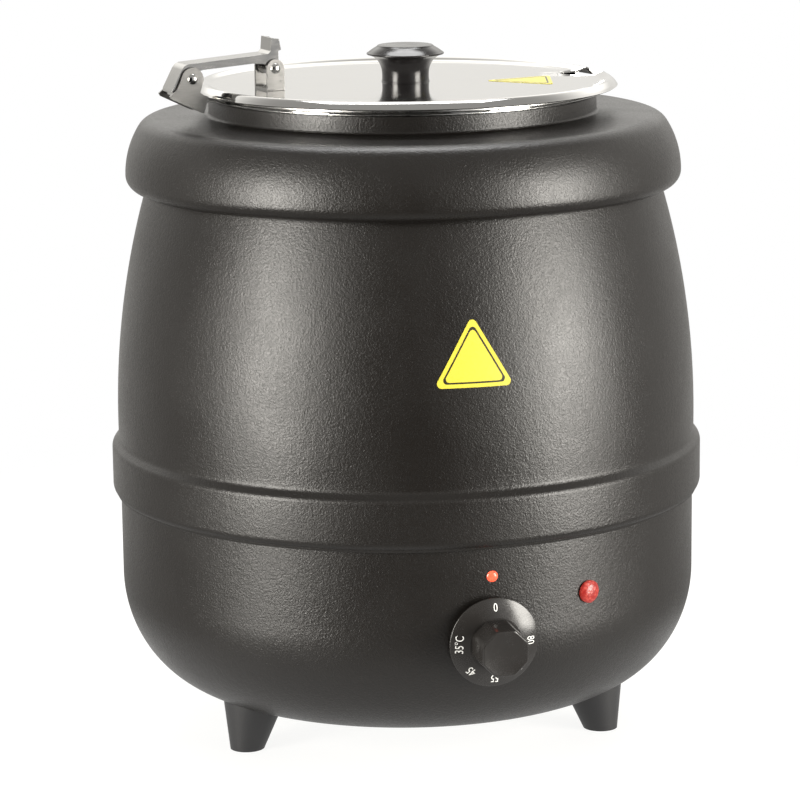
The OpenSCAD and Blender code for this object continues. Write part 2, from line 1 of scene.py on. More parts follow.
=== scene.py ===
"""The looks of the soup kettle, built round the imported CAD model.

Outlines are in millimetres and everything else is in metres. Bevelled pieces are worked from the CAD
nodes themselves. Spun pieces are drawn here from outlines that follow the CAD model's, with finer curves.
"""
import json
import math

import bmesh
import bpy
from mathutils import Matrix, Vector

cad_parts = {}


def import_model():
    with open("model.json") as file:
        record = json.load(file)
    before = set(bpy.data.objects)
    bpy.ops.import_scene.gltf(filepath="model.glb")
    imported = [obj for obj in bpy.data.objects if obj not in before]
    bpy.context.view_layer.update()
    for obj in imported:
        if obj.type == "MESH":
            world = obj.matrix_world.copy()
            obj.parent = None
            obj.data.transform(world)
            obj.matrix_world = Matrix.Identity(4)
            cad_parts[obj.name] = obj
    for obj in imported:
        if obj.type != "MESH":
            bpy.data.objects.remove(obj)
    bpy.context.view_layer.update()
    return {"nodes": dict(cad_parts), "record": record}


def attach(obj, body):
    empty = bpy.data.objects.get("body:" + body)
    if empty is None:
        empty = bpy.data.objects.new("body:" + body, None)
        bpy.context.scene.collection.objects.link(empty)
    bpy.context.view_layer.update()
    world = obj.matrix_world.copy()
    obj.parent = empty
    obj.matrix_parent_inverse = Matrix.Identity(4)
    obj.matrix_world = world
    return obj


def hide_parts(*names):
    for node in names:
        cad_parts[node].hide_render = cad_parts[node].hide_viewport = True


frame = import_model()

MM = 0.001
NODES = frame["nodes"]
RECORD = frame["record"]

# Directions, places and sizes that the CAD model also uses
HINGE_AZ = math.radians(203)
NOTCH_AZ = math.radians(18)
DIAL_AZ = math.radians(-74.1)
DIAL_TILT = math.radians(3)
DIAL_R = 167 * MM
DIAL_Z = 86 * MM
PILOT_AZ = math.radians(-53.6)
PILOT_Z = 106 * MM
INDEX_Z = 121.8 * MM
BOWL_R = 165.8 * MM
LABEL_AZ = math.radians(-77.1)
LABEL_Z = 238.4 * MM
LABEL_SIDE = 45 * MM
LID_LABEL_AT = (72 * MM, -2 * MM)
ARM_PIN = (129.5 * MM, 380 * MM)
LID_PIN = (80.6 * MM, 383.4 * MM)
LID_SHIFT = 2.1 * MM
LID_Z = 371 * MM
NOTCH_R, NOTCH_CENTRE = 13 * MM, 107 * MM

# The same for outlines, in millimetres
BARREL_R, BARREL_Z, BARREL_CURVE = 166.4, 180, 468
CASING_SHEET = 1.2

# Values of the looks alone: the lid's raised edge in millimetres, where the notch's edge ends, and the
# facets round a shell
LID_EDGE = [(107, 371), (110.5, 371.25), (113.6, 372.35), (115.6, 372.8), (117.3, 372.2), (119.2, 370.5)]
NOTCH_REACH = 119.6 * MM
SHELL_TURNS = 256


# ---- Camera, light and floor -------------------------------------------------

def camera():
    """The photograph's view: from above the lid's height, looking slightly down."""
    back, height = 1.898, 0.582
    pitch, roll, yaw = math.radians(11.79), math.radians(-0.66), math.radians(-0.10)
    level = Vector((math.sin(yaw), math.cos(yaw), 0))
    forward = level * math.cos(pitch) - Vector((0, 0, math.sin(pitch)))
    right = Vector((math.cos(yaw), -math.sin(yaw), 0))
    up = right.cross(forward)
    turned_right = right * math.cos(roll) + up * math.sin(roll)
    turned_up = up * math.cos(roll) - right * math.sin(roll)
    data = bpy.data.cameras.new("camera")
    data.lens = 150.4
    data.sensor_width = 36
    view = bpy.data.objects.new("camera", data)
    view.matrix_world = Matrix((turned_right, turned_up, -forward)).transposed().to_4x4()
    view.matrix_world.translation = (0, -back, height)
    bpy.context.scene.collection.objects.link(view)
    bpy.context.scene.camera = view


def softbox(name, azimuth, elevation, distance, size, power, color=(1, 1, 1)):
    """A rectangular soft light that faces the kettle. Azimuth 0 is the front, counted to the right."""
    a, e = math.radians(azimuth), math.radians(elevation)
    target = Vector((0, 0, 0.2))
    place = target + distance * Vector((math.sin(a) * math.cos(e), -math.cos(a) * math.cos(e), math.sin(e)))
    data = bpy.data.lights.new(name, "AREA")
    data.shape = "RECTANGLE"
    data.size, data.size_y = size
    data.energy = power
    data.color = color
    light = bpy.data.objects.new(name, data)
    light.matrix_world = (target - place).to_track_quat("-Z", "Y").to_matrix().to_4x4()
    light.matrix_world.translation = place
    light.visible_camera = False
    bpy.context.scene.collection.objects.link(light)


def world():
    """A white room: bright behind the kettle, softer above and at the sides, and dim in front of it.
    Where it is seen directly it is plain white."""
    room = bpy.data.worlds.new("room")
    bpy.context.scene.world = room
    room.use_nodes = True
    tree = room.node_tree
    tree.nodes.clear()
    direction = new_node(tree, "ShaderNodeSeparateXYZ",
                         {0: new_node(tree, "ShaderNodeTexCoord").outputs["Generated"]})
    height = direction.outputs["Z"]
    behind = ramp(tree, direction.outputs["Y"], 0.05, 0.9)
    ceiling = ramp(tree, height, 0.15, 0.5, 0.0, 0.4)
    horizon = ramp(tree, height, -0.05, 0.12, 1.0, 1.25)
    upper_wall = ramp(tree, height, 0.2, 0.4, 1.0, 1.75)
    wall_top = ramp(tree, height, 0.85, 0.45)
    glow = 0.75
    for factor in (behind, horizon, upper_wall, wall_top):
        glow = math_node(tree, "MULTIPLY", factor, glow)
    sides = ramp(tree, math_node(tree, "ABSOLUTE", direction.outputs["X"]), 0.7, 0.98, 0.02, 0.38)
    light = math_node(tree, "ADD", math_node(tree, "ADD", glow, ceiling), sides)
    unseen = new_node(tree, "ShaderNodeBackground", {"Color": (1, 0.98, 0.935, 1), "Strength": light})
    seen = new_node(tree, "ShaderNodeBackground", {"Color": (1, 1, 1, 1), "Strength": 1.0})
    mix = new_node(tree, "ShaderNodeMixShader", {
        0: new_node(tree, "ShaderNodeLightPath").outputs["Is Camera Ray"],
        1: unseen.outputs[0], 2: seen.outputs[0]})
    new_node(tree, "ShaderNodeOutputWorld", {"Surface": mix.outputs[0]})


def floor():
    """A pale round table top that fades into the white room, and lights the kettle a little from below."""
    radius, fade_from = 0.75, 0.35
    seen_light, bounce_near, bounce_far = 0.88, 0.62, 0.12
    bm = bmesh.new()
    bmesh.ops.create_circle(bm, cap_ends=True, radius=radius, segments=96)
    top = to_object(bm, "floor")
    mat, tree, bsdf = blank("pale_floor", (0.15, 0.149, 0.146), 0.7)
    bsdf.inputs["Emission Color"].default_value = (1, 1, 0.99, 1)
    seen = new_node(tree, "ShaderNodeLightPath").outputs["Is Camera Ray"]
    place = new_node(tree, "ShaderNodeTexCoord").outputs["Object"]
    distance = new_node(tree, "ShaderNodeVectorMath", {0: place}, operation="LENGTH").outputs["Value"]
    bounce = ramp(tree, distance, 0.2, 0.32, bounce_near, bounce_far)
    strength = new_node(tree, "ShaderNodeMix", {0: seen, 2: bounce, 3: seen_light}, data_type="FLOAT")
    tree.links.new(strength.outputs[0], bsdf.inputs["Emission Strength"])
    shown = ramp(tree, distance, radius * 0.98, fade_from)
    clear = new_node(tree, "ShaderNodeBsdfTransparent")
    mix = new_node(tree, "ShaderNodeMixShader", {0: shown, 1: clear.outputs[0], 2: bsdf.outputs[0]})
    tree.links.new(mix.outputs[0], tree.nodes["Material Output"].inputs["Surface"])
    top.data.materials.append(mat)


# ---- Node helpers ---------------------------------------------------------------

def new_node(tree, kind, inputs=None, **settings):
    """Adds a node, with its settings, and its inputs as plain values or linked sockets."""
    node = tree.nodes.new(kind)
    for key, value in settings.items():
        setattr(node, key, value)
    for key, value in (inputs or {}).items():
        if isinstance(value, bpy.types.NodeSocket):
            tree.links.new(value, node.inputs[key])
        else:
            node.inputs[key].default_value = value
    return node


def math_node(tree, operation, a, b=0.0):
    return new_node(tree, "ShaderNodeMath", {0: a, 1: b}, operation=operation).outputs[0]


def ramp(tree, value, low, high, out_low=0.0, out_high=1.0):
    """Smooth step of a value from low to high."""
    if low > high:
        low, high, out_low, out_high = high, low, out_high, out_low
    return new_node(tree, "ShaderNodeMapRange", {
        "Value": value, "From Min": low, "From Max": high, "To Min": out_low, "To Max": out_high},
        interpolation_type="SMOOTHSTEP").outputs["Result"]


def noise(tree, vector, size, detail=2.0, roughness=0.5, distortion=0.0):
    """Noise whose features are about size metres across."""
    return new_node(tree, "ShaderNodeTexNoise", {
        "Vector": vector, "Scale": 1 / size, "Detail": detail, "Roughness": roughness,
        "Distortion": distortion}).outputs["Fac"]


def blank(name, color, roughness, metallic=0.0):
    """A new material with its shader."""
    mat = bpy.data.materials.new(name)
    mat.use_nodes = True
    tree = mat.node_tree
    bsdf = tree.nodes["Principled BSDF"]
    bsdf.inputs["Base Color"].default_value = (*color, 1)
    bsdf.inputs["Roughness"].default_value = roughness
    bsdf.inputs["Metallic"].default_value = metallic
    return mat, tree, bsdf


def object_place(tree):
    return new_node(tree, "ShaderNodeTexCoord").outputs["Object"]


def stretched(tree, vector, scale, turn=0.0):
    """The place, turned about Z and then scaled, so that noise in it becomes streaks."""
    turned = new_node(tree, "ShaderNodeMapping", {"Vector": vector, "Rotation": (0, 0, -turn)})
    return new_node(tree, "ShaderNodeMapping", {"Vector": turned.outputs[0], "Scale": scale}).outputs[0]


def round_place(tree, vector):
    """The place as (radius, height, a little of the angle), for marks that run round the axis."""
    parts = new_node(tree, "ShaderNodeSeparateXYZ", {0: vector})
    x, y = parts.outputs["X"], parts.outputs["Y"]
    radius = math_node(tree, "SQRT", math_node(tree, "ADD", math_node(tree, "MULTIPLY", x, x),
                                               math_node(tree, "MULTIPLY", y, y)))
    angle = math_node(tree, "MULTIPLY", math_node(tree, "ABSOLUTE", math_node(tree, "ARCTAN2", y, x)), 0.004)
    return new_node(tree, "ShaderNodeCombineXYZ", {
        "X": radius, "Y": parts.outputs["Z"], "Z": angle}).outputs[0]


def tint(tree, bsdf, factor, color, other):
    """Varies the base colour between two colours."""
    mix = new_node(tree, "ShaderNodeMix", {0: factor, 6: (*color, 1), 7: (*other, 1)}, data_type="RGBA")
    tree.links.new(mix.outputs[2], bsdf.inputs["Base Color"])


def relief(tree, bsdf, height, depth, strength=1.0):
    """Raises the surface by depth metres where height is 1."""
    bump = new_node(tree, "ShaderNodeBump", {"Height": height, "Strength": strength, "Distance": depth})
    tree.links.new(bump.outputs[0], bsdf.inputs["Normal"])


# ---- Materials --------------------------------------------------------------------

def casing_paint():
    """Dark textured powder coat: fine wrinkles, with faint unevenness in colour and gloss."""
    color, other = (0.0050, 0.0040, 0.0033), (0.0080, 0.0066, 0.0055)
    mat, tree, bsdf = blank("casing_paint", color, 0.42)
    place = object_place(tree)
    wrinkle = noise(tree, place, 1.1 * MM, 2.5, 0.55, 0.6)
    coarse = noise(tree, place, 3.5 * MM, 2, 0.5)
    uneven = noise(tree, place, 45 * MM, 3)
    tint(tree, bsdf, ramp(tree, wrinkle, 0.35, 0.65), color, other)
    rough = math_node(tree, "ADD", ramp(tree, uneven, 0.3, 0.7, 0.33, 0.39),
                      ramp(tree, wrinkle, 0.35, 0.65, 0.05, -0.03))
    tree.links.new(rough, bsdf.inputs["Roughness"])
    relief(tree, bsdf, math_node(tree, "ADD", wrinkle, math_node(tree, "MULTIPLY", coarse, 0.5)), 0.2 * MM)
    return mat


def polished_steel():
    """Mirror-polished stainless: nearly flawless, with faint cloudy wipe marks."""
    mat, tree, bsdf = blank("polished_steel", (0.62, 0.615, 0.605), 0.08, 1.0)
    place = object_place(tree)
    cloud = noise(tree, place, 30 * MM, 3)
    tree.links.new(ramp(tree, cloud, 0.35, 0.7, 0.06, 0.11), bsdf.inputs["Roughness"])
    relief(tree, bsdf, noise(tree, place, 9 * MM, 1), 0.005 * MM)
    return mat


def pot_steel():
    """Spun stainless with fine marks round the axis."""
    mat, tree, bsdf = blank("pot_steel", (0.62, 0.615, 0.60), 0.28, 1.0)
    turned = round_place(tree, object_place(tree))
    lines = noise(tree, turned, 0.4 * MM, 3, 0.6)
    tree.links.new(ramp(tree, lines, 0.3, 0.7, 0.22, 0.32), bsdf.inputs["Roughness"])
    tint(tree, bsdf, lines, (0.58, 0.575, 0.56), (0.66, 0.655, 0.64))
    relief(tree, bsdf, lines, 0.005 * MM)
    return mat


def hinge_steel(name, painted_shade_grey, roughness):
    """Folded stainless strip of a given grey, with a soft grain along the arm. The grey is set below bare
    stainless, as painted shade.
    """
    mat, tree, bsdf = blank(name, (painted_shade_grey, painted_shade_grey, painted_shade_grey), roughness, 1.0)
    place = object_place(tree)
    grain = noise(tree, stretched(tree, place, (0.08, 1, 1), HINGE_AZ), 0.5 * MM, 3, 0.6)
    cloud = noise(tree, place, 7 * MM, 2)
    rough = math_node(tree, "ADD", ramp(tree, grain, 0.3, 0.7, roughness - 0.03, roughness + 0.03),
                      ramp(tree, cloud, 0.35, 0.65, -0.02, 0.04))
    tree.links.new(rough, bsdf.inputs["Roughness"])
    dark, light = painted_shade_grey - 0.05, painted_shade_grey + 0.05
    tint(tree, bsdf, grain, (dark, dark * 0.985, dark * 0.95), (light, light * 0.985, light * 0.955))
    relief(tree, bsdf, grain, 0.008 * MM)
    return mat


def knob_plastic():
    """Glossy black phenolic with a hint of flow marks."""
    mat, tree, bsdf = blank("knob_plastic", (0.012, 0.011, 0.011), 0.2)
    place = object_place(tree)
    flow = noise(tree, place, 12 * MM, 2)
    tree.links.new(ramp(tree, flow, 0.3, 0.7, 0.17, 0.25), bsdf.inputs["Roughness"])
    tint(tree, bsdf, flow, (0.009, 0.008, 0.008), (0.016, 0.015, 0.015))
    relief(tree, bsdf, noise(tree, place, 3 * MM, 1), 0.01 * MM)
    return mat


def moulded(name, color, other, roughness, grain, depth):
    """Moulded plastic with a spark-eroded grain of the given size."""
    mat, tree, bsdf = blank(name, color, roughness)
    place = object_place(tree)
    fine = noise(tree, place, grain, 2, 0.6)
    broad = noise(tree, place, 14 * MM, 2)
    tint(tree, bsdf, broad, color, other)
    rough = math_node(tree, "ADD", ramp(tree, fine, 0.35, 0.65, roughness - 0.04, roughness + 0.04),
                      ramp(tree, broad, 0.35, 0.65, -0.03, 0.03))
    tree.links.new(rough, bsdf.inputs["Roughness"])
    relief(tree, bsdf, fine, depth)
    return mat


def lamp_lens():
    """Red lamp lens with small facets inside and a little light of its own."""
    mat, tree, bsdf = blank("lamp_lens", (0.40, 0.03, 0.022), 0.3)
    place = object_place(tree)
    cells = new_node(tree, "ShaderNodeTexVoronoi", {"Vector": place, "Scale": 1 / (1.8 * MM)})
    facet = ramp(tree, cells.outputs["Distance"], 0.0, 0.7)
    tint(tree, bsdf, facet, (0.50, 0.075, 0.055), (0.26, 0.014, 0.011))
    relief(tree, bsdf, facet, 0.12 * MM, 0.6)
    bsdf.inputs["Emission Color"].default_value = (1.0, 0.06, 0.03, 1)
    bsdf.inputs["Emission Strength"].default_value = 0.04
    return mat


def lit_lens():
    """The small lamp over the dial, which is on."""
    mat, tree, bsdf = blank("lit_lens", (0.8, 0.06, 0.03), 0.2)
    place = object_place(tree)
    spot = noise(tree, place, 1.6 * MM, 2)
    tint(tree, bsdf, spot, (0.95, 0.16, 0.08), (0.7, 0.03, 0.02))
    relief(tree, bsdf, spot, 0.05 * MM)
    bsdf.inputs["Emission Color"].default_value = (1.0, 0.10, 0.04, 1)
    bsdf.inputs["Emission Strength"].default_value = 0.75
    return mat


def printed_vinyl(name, color, other):
    """Printed vinyl: even ink with a very fine mottle and a soft sheen."""
    mat, tree, bsdf = blank(name, color, 0.34)
    place = object_place(tree)
    mottle = noise(tree, place, 1.1 * MM, 3, 0.6)
    tint(tree, bsdf, mottle, color, other)
    tree.links.new(ramp(tree, mottle, 0.3, 0.7, 0.28, 0.40), bsdf.inputs["Roughness"])
    relief(tree, bsdf, noise(tree, place, 5 * MM, 2), 0.04 * MM)
    return mat


def plated(name, color, other, roughness, size, depth, metallic=1.0):
    """A cloudy plated, cast or fired surface, with clouds of the given size."""
    mat, tree, bsdf = blank(name, color, roughness, metallic)
    place = object_place(tree)
    cloud = noise(tree, place, size, 4, 0.6)
    tint(tree, bsdf, ramp(tree, cloud, 0.35, 0.65), color, other)
    tree.links.new(ramp(tree, cloud, 0.3, 0.7, roughness - 0.08, roughness + 0.1), bsdf.inputs["Roughness"])
    relief(tree, bsdf, noise(tree, place, size * 0.3, 3), depth)
    return mat


def felt():
    """Pressed mineral-wool blanket."""
    mat, tree, bsdf = blank("insulation", (0.55, 0.5, 0.34), 0.95)
    place = object_place(tree)
    fibres = noise(tree, stretched(tree, place, (1, 1, 0.25)), 1.2 * MM, 4, 0.7, 1.2)
    tint(tree, bsdf, fibres, (0.45, 0.40, 0.26), (0.66, 0.61, 0.46))
    relief(tree, bsdf, fibres, 1.0 * MM)
    bsdf.inputs["Sheen Weight"].default_value = 0.3
    return mat


MATERIALS = {
    "casing_paint": casing_paint(),
    "polished_steel": polished_steel(),
    "pot_steel": pot_steel(),
    # The arm and the bracket are the lid's stainless made darker in colour as painted shade. The bracket is
    # darkened most.
    "arm_steel_painted_shade": hinge_steel("arm_steel_painted_shade", 0.42, 0.12),
    "bracket_steel_painted_shade": hinge_steel("bracket_steel_painted_shade", 0.26, 0.32),
    "knob_plastic": knob_plastic(),
    "dial_plastic": moulded("dial_plastic", (0.016, 0.0145, 0.0135), (0.021, 0.0195, 0.0185), 0.24,
                            0.5 * MM, 0.01 * MM),
    "foot_plastic": moulded("foot_plastic", (0.014, 0.014, 0.015), (0.02, 0.02, 0.021), 0.48,
                            0.9 * MM, 0.08 * MM),
    "gland_plastic": moulded("gland_plastic", (0.016, 0.016, 0.016), (0.024, 0.024, 0.024), 0.45,
                             0.6 * MM, 0.04 * MM),
    "lamp_lens": lamp_lens(),
    "lit_lens": lit_lens(),
    "label": printed_vinyl("label", (0.60, 0.52, 0.05), (0.66, 0.58, 0.07)),
    "label_ink": printed_vinyl("label_ink", (0.022, 0.020, 0.010), (0.03, 0.028, 0.016)),
    "dial_ink": printed_vinyl("dial_ink", (0.80, 0.80, 0.78), (0.88, 0.88, 0.86)),
    "insulation": felt(),
    "aluminium": plated("aluminium", (0.58, 0.59, 0.61), (0.68, 0.69, 0.71), 0.42, 3 * MM, 0.12 * MM),
    "element_steel": plated("element_steel", (0.20, 0.17, 0.15), (0.34, 0.31, 0.30), 0.4, 8 * MM, 0.04 * MM),
    "zinc_plate": plated("zinc_plate", (0.50, 0.50, 0.47), (0.62, 0.61, 0.57), 0.3, 6 * MM, 0.03 * MM),
    "ceramic": plated("ceramic", (0.70, 0.67, 0.58), (0.78, 0.75, 0.66), 0.6, 1.5 * MM, 0.05 * MM, 0.0),
    "brass": plated("brass", (0.60, 0.43, 0.17), (0.68, 0.50, 0.22), 0.28, 5 * MM, 0.02 * MM),
    "copper": plated("copper", (0.62, 0.30, 0.17), (0.50, 0.21, 0.11), 0.3, 6 * MM, 0.02 * MM),
    "wire_sleeve": plated("wire_sleeve", (0.42, 0.05, 0.04), (0.34, 0.04, 0.03), 0.45, 4 * MM, 0.02 * MM,
                          0.0),
}


# ---- Mesh helpers -----------------------------------------------------------------

def to_object(bm, name, sharp=35):
    """Turns a bmesh into a smooth-shaded object with sharp edges kept."""
    bmesh.ops.recalc_face_normals(bm, faces=bm.faces[:])
    mesh = bpy.data.meshes.new(name)
    bm.to_mesh(mesh)
    bm.free()
    mesh.shade_smooth()
    mesh.set_sharp_from_angle(angle=math.radians(sharp))
    piece = bpy.data.objects.new(name, mesh)
    bpy.context.scene.collection.objects.link(piece)
    return piece


def add_piece(piece, body, slot, material=None, stands_for=()):
    """Gives a piece its material and its body, and hides the CAD nodes it stands for."""
    piece.data.materials.clear()
    piece.data.materials.append(MATERIALS[material or slot])
    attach(piece, body)
    if stands_for:
        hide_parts(*stands_for)
    return piece


def lathe(name, outline, turns=192, matrix=None):
    """Spins a closed outline of (radius, height) in millimetres round the Z axis."""
    bm = bmesh.new()
    angles = [2 * math.pi * k / turns for k in range(turns)]
    rings = []
    for r, z in outline:
        if r < 1e-6:
            rings.append([bm.verts.new((0, 0, z * MM))])
        else:
            rings.append([bm.verts.new((r * MM * math.cos(a), r * MM * math.sin(a), z * MM)) for a in angles])
    for ring, following in zip(rings, rings[1:] + rings[:1]):
        for k in range(turns):
            corners = [ring[k % len(ring)], ring[(k + 1) % len(ring)],
                       following[(k + 1) % len(following)], following[k % len(following)]]
            corners = list(dict.fromkeys(corners))
            if len(corners) > 2:
                bm.faces.new(corners)
    if matrix:
        bm.transform(matrix)
    return to_object(bm, name)


def arc(cx, cz, r, start, end, steps=10):
    """Points on a circle, from one angle to another, in degrees."""
    angles = [math.radians(start + (end - start) * i / steps) for i in range(steps + 1)]
    return [(cx + r * math.cos(a), cz + r * math.sin(a)) for a in angles]


def curve_through(points, steps=8):
    """A smooth curve through a few points, as a Catmull-Rom spline."""
    out = []
    last = len(points) - 1
    for i in range(last):
        p0, p1, p2, p3 = (Vector(points[min(max(j, 0), last)]) for j in (i - 1, i, i + 1, i + 2))
        for s in range(steps):
            t = s / steps
            out.append(tuple(0.5 * ((2 * p1) + (p2 - p0) * t + (2 * p0 - 5 * p1 + 4 * p2 - p3) * t ** 2
                                    + (3 * p1 - p0 - 3 * p2 + p3) * t ** 3)))
    return out + [tuple(points[-1])]


def wall_matrix(azimuth, radius, height, tilt=0.0):
    """A frame on the casing's wall: +Z points outwards and -X up."""
    return (Matrix.Rotation(azimuth, 4, "Z") @ Matrix.Translation((radius, 0, height))
            @ Matrix.Rotation(math.pi / 2 + tilt, 4, "Y"))


def hinge_matrix(u, z):
    """A frame in the hinge's plane: +Z points along the pins."""
    return (Matrix.Rotation(HINGE_AZ, 4, "Z") @ Matrix.Translation((u, 0, z))
            @ Matrix.Rotation(math.pi / 2, 4, "X"))


def lid_matrix():
    return Matrix.Translation((-LID_SHIFT * math.cos(HINGE_AZ), -LID_SHIFT * math.sin(HINGE_AZ), 0))


def softened(node, body, slot, width, material=None, segments=2):
    """A finished copy of a CAD node, with its sharp edges rounded off."""
    bm = bmesh.new()
    bm.from_mesh(NODES[node].data)
    bmesh.ops.remove_doubles(bm, verts=bm.verts[:], dist=2e-6)
    bmesh.ops.dissolve_limit(bm, angle_limit=math.radians(0.3), verts=bm.verts[:], edges=bm.edges[:])
    limit = math.radians(28)
    sharp = [e for e in bm.edges if len(e.link_faces) == 2 and e.calc_face_angle(0) > limit]
    bmesh.ops.bevel(bm, geom=sharp, offset=width, segments=segments, profile=0.5, affect="EDGES",
                    clamp_overlap=True)
    piece = to_object(bm, node + "_finished")
    piece.modifiers.new("flat_faces", "WEIGHTED_NORMAL").keep_sharp = True
    return add_piece(piece, body, slot, material, [node])


# ---- Casing --------------------------------------------------------------------------

def barrel_radius(z):
    """The upper barrel's radius at a height, both in millimetres."""
    return BARREL_R - BARREL_CURVE + math.sqrt(BARREL_CURVE ** 2 - (z - BARREL_Z) ** 2)


def bowl_line(inset):
    """The lower bowl from its bottom opening to its top edge, moved inwards by inset."""
    opening, flat, radius, curve, bottom, top = 88, 109, BOWL_R / MM, 90, 24, 150
    line = [(opening, bottom + inset)]
    line += [(flat + (radius - flat - inset) * math.cos(a), curve + (curve - bottom - inset) * math.sin(a))
             for a in (math.radians(-90 + 90 * i / 48) for i in range(49))]
    return line + [(radius - inset, top)]


def barrel_line(inset):
    """The upper barrel from its hem, over the raised band, to its top edge."""
    bottom, top = 175, 315
    line = [(167.2 - inset, 137.4), (168.0 - inset, 137.45), (168.15 - inset, 137.7)]
    line += arc(164.6 - inset, 143, 5.6, -48, 0, 12)
    line += arc(166.2 - inset, 163.9, 4, 0, 48, 8)
    line += arc(170.4 - inset, 171.2, 4, 222, 181, 8)
    return line + [(barrel_radius(z) - inset, z) for z in range(bottom, top + 1, 5)]


def shoulder_line(inset):
    """The shoulder ring from under its outer roll, over the top, to the neck."""
    line = [(147.6, 313 + inset)]
    line += arc(150.4, 321, 8 - inset, -90, 0, 14)
    line += arc(108.4, 321, 50 - inset, 2, 32.7, 14)
    line += arc(141.7, 342.4, 10.4 - inset, 38, 90, 14)
    line += [(137, 352.8 - inset)]
    line += arc(112.4, 356.2, 2 + inset, 270, 180, 8)
    return line + [(110.4 - inset, 364.4 - inset)]


def casing():
    """The three painted shells, spun smooth."""
    neck_lip = [(110.4, 363.9), (109.9, 364.4), (107.4, 363.3)]
    shells = [("bowl_shell", "lower_bowl", bowl_line, []), ("barrel_shell", "upper_barrel", barrel_line, []),
              ("shoulder_shell", "shoulder_ring", shoulder_line, neck_lip)]
    for name, node, line, lip in shells:
        outline = line(0) + lip + line(CASING_SHEET)[::-1]
        add_piece(lathe(name, outline, SHELL_TURNS), "casing", "casing_paint", stands_for=[node])


def rest_of_casing():
    """The small fixed parts: feet, bottom plate, gland and lamps."""
    for node in ("foot_left", "foot_right", "foot_rear"):
        softened(node, "casing", "foot_plastic", 0.6 * MM)
    softened("bottom_plate", "casing", "zinc_plate", 0.25 * MM, segments=1)
    softened("cable_gland", "casing", "gland_plastic", 0.5 * MM)
    softened("gland_cap", "casing", "gland_plastic", 0.5 * MM)
    pilot = [(0, 3.4), (3.4, 3.3), (4.6, 2.9), (5.5, 2.1), (6.0, 1.9), (6.3, 1.5), (6.3, 0.3), (5.9, 0.1),
             (4.9, 0.1), (4.9, -22), (0, -22)]
    pilot_lens = lathe("pilot_lens", pilot, 64, wall_matrix(PILOT_AZ, BOWL_R, PILOT_Z))
    add_piece(pilot_lens, "casing", "lamp_lens", stands_for=["pilot_lamp"])
    index = [(0, 1.5), (1.6, 1.35), (2.5, 0.9), (3.1, 0.15), (2.5, 0.1), (2.5, -14), (0, -14)]
    index_lens = lathe("index_lens", index, 48, wall_matrix(DIAL_AZ, BOWL_R, INDEX_Z))
    add_piece(index_lens, "casing", "lamp_lens", "lit_lens", ["index_lamp"])


# ---- Labels ---------------------------------------------------------------------------

def triangle(side, corner):
    """Outline of a triangle with rounded corners, standing on its base and centred."""
    reach = side / math.sqrt(3) - 2 * corner
    longest_step = 2.5 * MM
    points = []
    for a in (90, 210, 330):
        cx, cy = reach * math.cos(math.radians(a)), reach * math.sin(math.radians(a))
        points += arc(cx, cy, corner, a - 60, a + 60, 6)
    dense = []
    for i, p in enumerate(points):
        q = points[(i + 1) % len(points)]
        parts = max(1, round(math.dist(p, q) / longest_step))
        dense += [(p[0] + (q[0] - p[0]) * k / parts, p[1] + (q[1] - p[1]) * k / parts) for k in range(parts)]
    return dense


def label_band(name, side, outer, inner, low, high, place):
    """A thin ring between two sizes of the triangle, laid on a surface by place; a plate if inner is 0."""
    bm = bmesh.new()
    corner = 2.5 * MM
    outline = triangle(side, corner)
    steps = max(2, round((outer - inner) * 8))
    scales = [outer + (inner - outer) * i / steps for i in range(steps + 1)]

    def ring(scale, height):
        if scale < 1e-6:
            return [bm.verts.new(place(0, 0, height))]
        return [bm.verts.new(place(x * scale, y * scale, height)) for x, y in outline]

    rings = [ring(s, high) for s in scales] + [ring(s, low) for s in scales[::-1]]
    count = len(outline)
    for a, b in zip(rings, rings[1:] + rings[:1]):
        for k in range(count):
            corners = [a[k % len(a)], a[(k + 1) % len(a)], b[(k + 1) % len(b)], b[k % len(b)]]
            corners = list(dict.fromkeys(corners))
            if len(corners) > 2:
                bm.faces.new(corners)
    return to_object(bm, name)


def label(name, node, body, place):
    """A plain yellow triangle with a dark line inside its edge."""
    gap, thick, ink = 0.05 * MM, 0.24 * MM, 0.03 * MM
    plate = label_band(name, LABEL_SIDE, 0.98, 0, gap, thick, place)
    add_piece(plate, body, "label", stands_for=[node])
    line = label_band(name + "_line", LABEL_SIDE, 0.82, 0.75, thick - ink, thick + ink, place)
    add_piece(line, body, "label", "label_ink")


def labels():
    def on_barrel(x, y, height):
        z = LABEL_Z + y
        r = barrel_radius(z / MM) * MM + height
        a = LABEL_AZ + x / r
        return (r * math.cos(a), r * math.sin(a), z)

    def on_lid(x, y, height):
        return (LID_LABEL_AT[0] - y, LID_LABEL_AT[1] + x, LID_Z + height)

    label("front_label", "front_sticker", "casing", on_barrel)
    label("lid_label", "lid_sticker", "lid", on_lid)


# ---- Dial -------------------------------------------------------------------------------

# The radius and height of the skirt's rim in millimetres, the slope of the cone that rises from it, half the
# grip's width across its flat sides in millimetres, and the numbers with their angles in degrees
RIM_R, RIM_TOP = 25, 2.05
CONE_SLOPE = math.atan2(3.0, 10.4)
GRIP_HALF = 13.3
NUMERALS = {"0": 0, "35°C": 88, "45": 138, "55": 180, "65": 228, "80": 270}


def dial():
    matrix = wall_matrix(DIAL_AZ, DIAL_R, DIAL_Z, DIAL_TILT)
    skirt = [(10, 0.9), (24.8, 0.9), (RIM_R, 1.1), (RIM_R, 1.75), (24.9, 1.95), (24.7, 2.1), (14.8, 4.95),
             (14.3, 5), (10, 5)]
    add_piece(lathe("dial_face", skirt, 128, matrix), "dial", "dial_plastic", stands_for=["dial_skirt"])
    dial_grip(matrix)
    for text, angle in NUMERALS.items():
        numeral(text, math.radians(angle), matrix)


